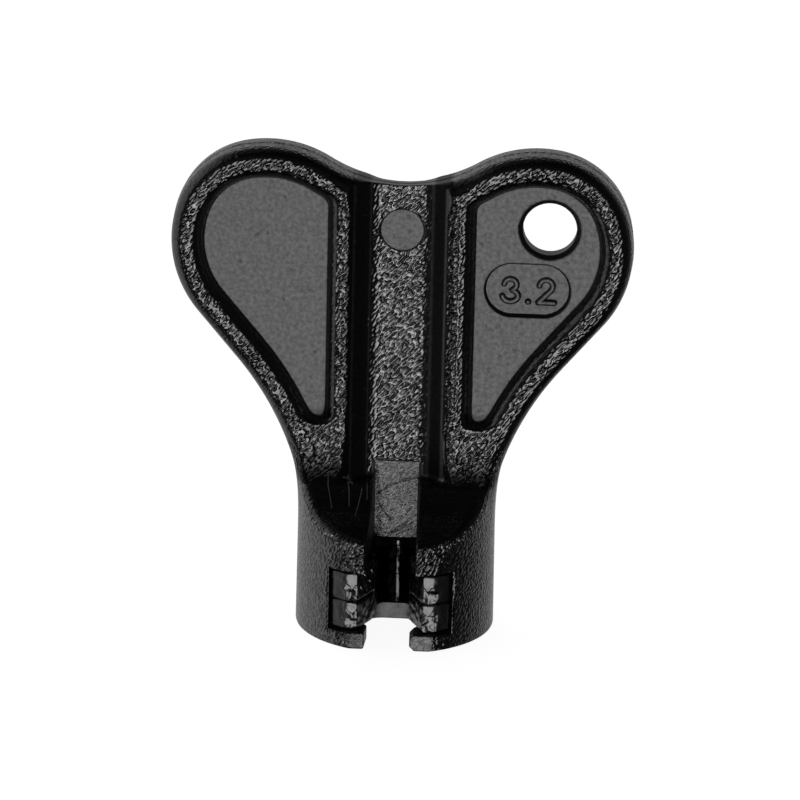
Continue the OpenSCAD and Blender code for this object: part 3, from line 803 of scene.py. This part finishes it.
def blackNylon():
    # Dull polished panels between glittering spark-eroded grain, which makes the black readable
    look = nylonLook
    material, tree = newMaterial("blackGlassFilledNylon")
    place = addNode(tree, "TexCoord")
    zone = addNode(tree, "Attribute", attribute_name="grain")
    glossAndPaintedShade = addNode(tree, "Attribute", attribute_name="glossAndPaintedShade")
    wearAndPaintedHighlight = addNode(tree, "Attribute", attribute_name="brushed")

    noises = {}
    for name, detail in (("grain", 0.0), ("brush", 2.0), ("ripple", 2.0), ("mottle", 3.0)):
        source = (place, "Object")
        if name + "Turn" in look:
            turned = addNode(tree, "Mapping", {
                "Vector": source, "Rotation": (0, math.radians(look[name + "Turn"]), 0),
                "Scale": (1, 1, look[name + "Stretch"])}, vector_type="TEXTURE")
            source = (turned, 0)
        noises[name] = addNode(tree, "TexNoise", {
            "Vector": source, "Scale": 1 / (look[name + "Width"] * mm), "Detail": detail})
    noises["mottle"].inputs["Roughness"].default_value = 0.65
    specks = addNode(tree, "TexVoronoi", {
        "Vector": (place, "Object"), "Scale": 1 / (look["speckWidth"] * mm)})
    low, high = look["speckSpan"]
    pits = addNode(tree, "MapRange", {0: (specks, "Distance"), 1: low, 2: high, 3: 0.0, 4: 1.0})
    onScratch = scratchMask(tree, place, scratches, *scratchY)

    # each layer of relief lies on the one before it
    layers = (
        ("ripple", noises["ripple"], 1.0), ("speck", pits, 1.0),
        ("grain", noises["grain"], (zone, "Fac")), ("brush", noises["brush"], (wearAndPaintedHighlight, "Fac")),
        ("scratch", onScratch, 1.0),
    )
    normal = None
    for name, height, strength in layers:
        relief = addNode(tree, "Bump", {
            "Height": (height, 0), "Distance": look[name + "Height"] * mm, "Strength": strength},
            invert=name == "scratch")
        if normal:
            tree.links.new(normal.outputs[0], relief.inputs["Normal"])
        normal = relief

    rough = addNode(tree, "MapRange", {
        0: (zone, "Fac"), 1: 0.0, 2: look["grainStart"],
        3: look["polishedRoughness"], 4: look["grainRoughness"]})
    rough = addNode(tree, "Math", {
        0: (wearAndPaintedHighlight, "Fac"), 1: look["brushRoughness"], 2: (rough, 0)}, operation="MULTIPLY_ADD")
    low, high = look["mottleSpan"]
    dull, bright = (share * look["specular"] for share in look["mottle"])
    mottle = addNode(tree, "MapRange", {0: (noises["mottle"], 0), 1: low, 2: high, 3: dull, 4: bright})
    low, high = look["ridgeSpan"]
    pit, ridge = look["ridges"]
    ridges = addNode(tree, "MapRange", {0: (noises["grain"], 0), 1: low, 2: high, 3: pit, 4: ridge})
    ridged = addNode(tree, "Mix", {0: (zone, "Fac"), 2: (mottle, 0), 3: (ridges, 0)})
    # the specular level carries painted shade from the gloss attribute and the painted highlight line
    paintedHighlight = paintedHighlightMask(tree, place)
    returned = addNode(tree, "Math", {0: (glossAndPaintedShade, "Fac"), 1: (paintedHighlight, 0)}, operation="MAXIMUM")
    specular = addNode(tree, "Math", {0: (ridged, 0), 1: (returned, 0)}, operation="MULTIPLY")
    onScuff = scratchMask(tree, place, scuffs, *scuffY)
    colour = addNode(tree, "Mix", {
        0: (onScuff, 0), 6: hexColour(look["colour"]), 7: hexColour(look["scuffColour"])},
        data_type="RGBA")
    shader = addNode(tree, "BsdfPrincipled", {
        "Base Color": (colour, 2), "Roughness": (rough, 0), "IOR": look["ior"],
        "Specular IOR Level": (specular, 0), "Normal": (normal, 0)})
    addNode(tree, "OutputMaterial", {"Surface": (shader, "BSDF")})
    return material


# the painted highlight line shows at 0.7 of the steel's colour
steelLook = {
    "colour": "#68686a", "roughness": 0.36, "paintedHighlight": 0.7,
    "streakWidth": 0.2, "streakStretch": 4, "streakHeight": 0.003,
    "dentWidth": 0.8, "dentHeight": 0.62,
}


def blackenedSteel():
    # Blackened cut faces that catch the light as one hard bright stripe
    look = steelLook
    material, tree = newMaterial("blackenedSteel")
    place = addNode(tree, "TexCoord")
    glossAndPaintedShade = addNode(tree, "Attribute", attribute_name="glossAndPaintedShade")
    torn = addNode(tree, "Attribute", attribute_name="torn")
    stretched = addNode(tree, "VectorMath", {
        0: (place, "Object"), 1: (1, 1, 1 / look["streakStretch"])}, operation="MULTIPLY")
    streaks = addNode(tree, "TexNoise", {
        "Vector": (stretched, 0), "Scale": 1 / (look["streakWidth"] * mm), "Detail": 2.0})
    dents = addNode(tree, "TexNoise", {
        "Vector": (place, "Object"), "Scale": 1 / (look["dentWidth"] * mm), "Detail": 0.5})
    streaked = addNode(tree, "Bump", {
        "Height": (streaks, 0), "Distance": look["streakHeight"] * mm, "Strength": 1.0})
    dented = addNode(tree, "Bump", {
        "Height": (dents, 0), "Distance": look["dentHeight"] * mm, "Strength": (torn, "Fac"),
        "Normal": (streaked, 0)})
    # the colour carries painted shade inside the jaw and the painted highlight line down its back
    paintedHighlight = paintedHighlightMask(tree, place)
    wearAndPaintedHighlight = addNode(tree, "Math", {0: (paintedHighlight, 0), 1: look["paintedHighlight"]}, operation="MULTIPLY")
    returned = addNode(tree, "Math", {0: (glossAndPaintedShade, "Fac"), 1: (wearAndPaintedHighlight, 0)}, operation="MAXIMUM")
    colour = addNode(tree, "VectorMath", {
        0: hexColour(look["colour"])[:3], "Scale": (returned, 0)}, operation="SCALE")
    shader = addNode(tree, "BsdfPrincipled", {
        "Base Color": (colour, 0), "Metallic": 1.0, "Roughness": look["roughness"], "Normal": (dented, 0)})
    addNode(tree, "OutputMaterial", {"Surface": (shader, "BSDF")})
    return material


nylon = blackNylon()
steel = blackenedSteel()
print("materials:", nylon.name, "and", steel.name)


def sweptStrokes(name, paths, radius, height, material):
    # Geometry Nodes sweep a round section along each path and close its ends with balls.
    curve = bpy.data.curves.new(name + "Paths", "CURVE")
    curve.dimensions = "3D"
    for path in paths:
        spline = curve.splines.new("POLY")
        spline.points.add(len(path) - 1)
        for point, (x, z) in zip(spline.points, path):
            point.co = (x * mm, height * mm, z * mm, 1)
    holder = addObject(name + "Paths", curve)

    tree = bpy.data.node_groups.new(name + "Sweep", "GeometryNodeTree")
    tree.interface.new_socket("Paths", in_out="INPUT", socket_type="NodeSocketGeometry")
    radiusInput = tree.interface.new_socket("Stroke Radius", in_out="INPUT", socket_type="NodeSocketFloat")
    tree.interface.new_socket("Strokes", in_out="OUTPUT", socket_type="NodeSocketGeometry")
    given = addNode(tree, "NodeGroupInput")
    section = addNode(tree, "CurvePrimitiveCircle", {"Resolution": 12, "Radius": (given, 1)})
    swept = addNode(tree, "CurveToMesh", {
        "Curve": (given, 0), "Profile Curve": (section, 0), "Fill Caps": True})
    ends = addNode(tree, "CurveEndpointSelection")
    ball = addNode(tree, "MeshIcoSphere", {"Radius": (given, 1), "Subdivisions": 3})
    balls = addNode(tree, "InstanceOnPoints", {
        "Points": (given, 0), "Selection": (ends, 0), "Instance": (ball, 0)})
    joined = addNode(tree, "JoinGeometry", {0: (swept, 0)})
    tree.links.new(balls.outputs[0], joined.inputs[0])
    real = addNode(tree, "RealizeInstances", {0: (joined, 0)})
    coated = addNode(tree, "SetMaterial", {"Geometry": (real, 0), "Material": material})
    smooth = addNode(tree, "SetShadeSmooth", {"Geometry": (coated, 0)})
    addNode(tree, "NodeGroupOutput", {0: (smooth, 0)})

    modifier = holder.modifiers.new("sweep", "NODES")
    modifier.node_group = tree
    modifier[radiusInput.identifier] = radius * mm
    evaluated = holder.evaluated_get(bpy.context.evaluated_depsgraph_get())
    mesh = bpy.data.meshes.new_from_object(evaluated)
    holder.modifiers.remove(modifier)
    bpy.data.objects.remove(holder)
    mesh.name = name
    return addObject(name, mesh)


plateSurface = -handleSize["panelThickness"] / 2 + handleSize["tag"][4]
strokeHeight = plateSurface + numberSize["strokeRadius"] - numberSize["proud"]
strokes = numberPaths(numberSize)
numberPiece = sweptStrokes("sizeNumber", strokes, numberSize["strokeRadius"], strokeHeight, nylon)
below = cornerPoints(numberPiece.data)[:, 1] - (strokeHeight - numberSize["strokeRadius"])
# painted shade: the strokes return less light down their sides than on their crests
markCorners(numberPiece, "glossAndPaintedShade", fade(below, *numberSize["glossAndPaintedShade"]))
print("number:", len(numberPiece.data.polygons), "faces")

handlePiece.data.materials.append(nylon)
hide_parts("handle")
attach(handlePiece, "root")
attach(numberPiece, "root")
for piece, node in plates:
    piece.data.materials.append(steel)
    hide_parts(node)
    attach(piece, "root")


# Table and light: a white sweep, a wide bright front, dark to both sides and above, pale behind

studio = {
    "floorWhite": 0.92, "floorColour": "#dcdcdc", "tableHalf": 2000,
    "windowLevel": 2.5, "windowAround": ((-27, 0), (-19, 1), (24, 1), (31, 0)),
    "windowUpward": ((-46, 0), (-36, 1), (10, 1), (20, 0)),
    "sweepLevel": 0.55, "sweepUpward": ((-60, 0.05), (-40, 1), (30, 1), (60, 0.1)),
    "sweepAround": ((-115, 1), (-72, 0.9), (-60, 0.08), (60, 0.03), (92, 0.06), (115, 0.3), (150, 0.9)),
}


def ramp(tree, source, stops, reach):
    # A level that follows an angle between -reach and reach degrees, given as (angle, level) stops
    limit = math.radians(reach)
    share = addNode(tree, "MapRange", {0: source, 1: -limit, 2: limit})
    new = addNode(tree, "ValToRGB", {0: (share, 0)})
    elements = new.color_ramp.elements
    while len(elements) < len(stops):
        elements.new(0.5)
    for element, (angle, level) in zip(elements, stops):
        element.position = (angle + reach) / (2 * reach)
        element.color = (level, level, level, 1)
    return new


def whiteTable():
    # White to the eye and a matt sheet to the light, so it keeps the tool's soft shadow
    material, tree = newMaterial("whiteTable")
    rays = addNode(tree, "LightPath")
    seen = addNode(tree, "Math", {
        0: (rays, "Is Camera Ray"), 1: (rays, "Is Glossy Ray")}, operation="MAXIMUM")
    seen = addNode(tree, "Math", {0: (seen, 0), 1: (rays, "Is Transmission Ray")}, operation="MAXIMUM")
    strength = addNode(tree, "Math", {0: (seen, 0), 1: studio["floorWhite"]}, operation="MULTIPLY")
    diffuse = addNode(tree, "BsdfDiffuse", {"Color": hexColour(studio["floorColour"])})
    glow = addNode(tree, "Emission", {"Color": (1, 1, 1, 1), "Strength": (strength, 0)})
    both = addNode(tree, "AddShader", {0: (diffuse, 0), 1: (glow, 0)})
    addNode(tree, "OutputMaterial", {"Surface": (both, 0)})
    return material


corners = np.array([(-1, -1, 0), (1, -1, 0), (1, 1, 0), (-1, 1, 0)]) * studio["tableHalf"]
floor = meshPiece("table", corners, np.array([(0, 1, 2, 3)]))
floor.data.materials.append(whiteTable())
floor.visible_glossy = False        # the plastic and the steel mirror the studio around them instead

world = bpy.data.worlds.new("studio")
bpy.context.scene.world = world
world.use_nodes = True
tree = world.node_tree
tree.nodes.clear()
direction = addNode(tree, "TexCoord")
rays = addNode(tree, "LightPath")
split = addNode(tree, "SeparateXYZ", {0: (direction, "Generated")})
ahead = addNode(tree, "Math", {0: (split, 1), 1: -1.0}, operation="MULTIPLY")
bearing = addNode(tree, "Math", {0: (split, 0), 1: (ahead, 0)}, operation="ARCTAN2")
climb = addNode(tree, "Math", {0: (split, 2)}, operation="ARCSINE")
parts = []
for part in ("window", "sweep"):
    around = ramp(tree, (bearing, 0), studio[part + "Around"], 180)
    upward = ramp(tree, (climb, 0), studio[part + "Upward"], 90)
    shape = addNode(tree, "Math", {0: (around, 0), 1: (upward, 0)}, operation="MULTIPLY")
    parts.append(addNode(tree, "Math", {0: (shape, 0), 1: studio[part + "Level"]}, operation="MULTIPLY"))
strength = addNode(tree, "Math", {0: (parts[0], 0), 1: (parts[1], 0)}, operation="ADD")
lit = addNode(tree, "Background", {"Color": (1, 1, 1, 1), "Strength": (strength, 0)})
white = addNode(tree, "Background", {"Color": (1, 1, 1, 1), "Strength": 1.0})
shown = addNode(tree, "MixShader", {0: (rays, "Is Camera Ray"), 1: (lit, 0), 2: (white, 0)})
addNode(tree, "OutputWorld", {"Surface": (shown, 0)})
print("studio: table and", len(parts), "lit areas")


# Camera, solved from the photograph: it stands half a metre off, a little to the right and above

view = {"azimuth": 3.22, "elevation": 18.74, "roll": 1.27, "distance": 500, "target": (0.09, 0, 22.96),
        "focalPixels": 5083, "framePixels": 800, "sensor": 36}
azimuth, elevation, roll = (math.radians(view[key]) for key in ("azimuth", "elevation", "roll"))
level = math.cos(elevation)
behind = Vector((math.sin(azimuth) * level, -math.cos(azimuth) * level, math.sin(elevation)))
right = Vector((math.cos(azimuth), math.sin(azimuth), 0))
up = behind.cross(right)
turnedRight = right * math.cos(roll) + up * math.sin(roll)
turnedUp = up * math.cos(roll) - right * math.sin(roll)
cameraData = bpy.data.cameras.new("camera")
cameraData.sensor_width = view["sensor"]
cameraData.lens = view["focalPixels"] / view["framePixels"] * view["sensor"]
cameraData.clip_start = 0.01
camera = addObject("camera", cameraData)
turn = Matrix((turnedRight, turnedUp, behind)).transposed()
spot = (Vector(view["target"]) + behind * view["distance"]) * mm
camera.matrix_world = Matrix.Translation(spot) @ turn.to_4x4()
bpy.context.scene.camera = camera

bpy.context.scene.view_settings.view_transform = "Standard"
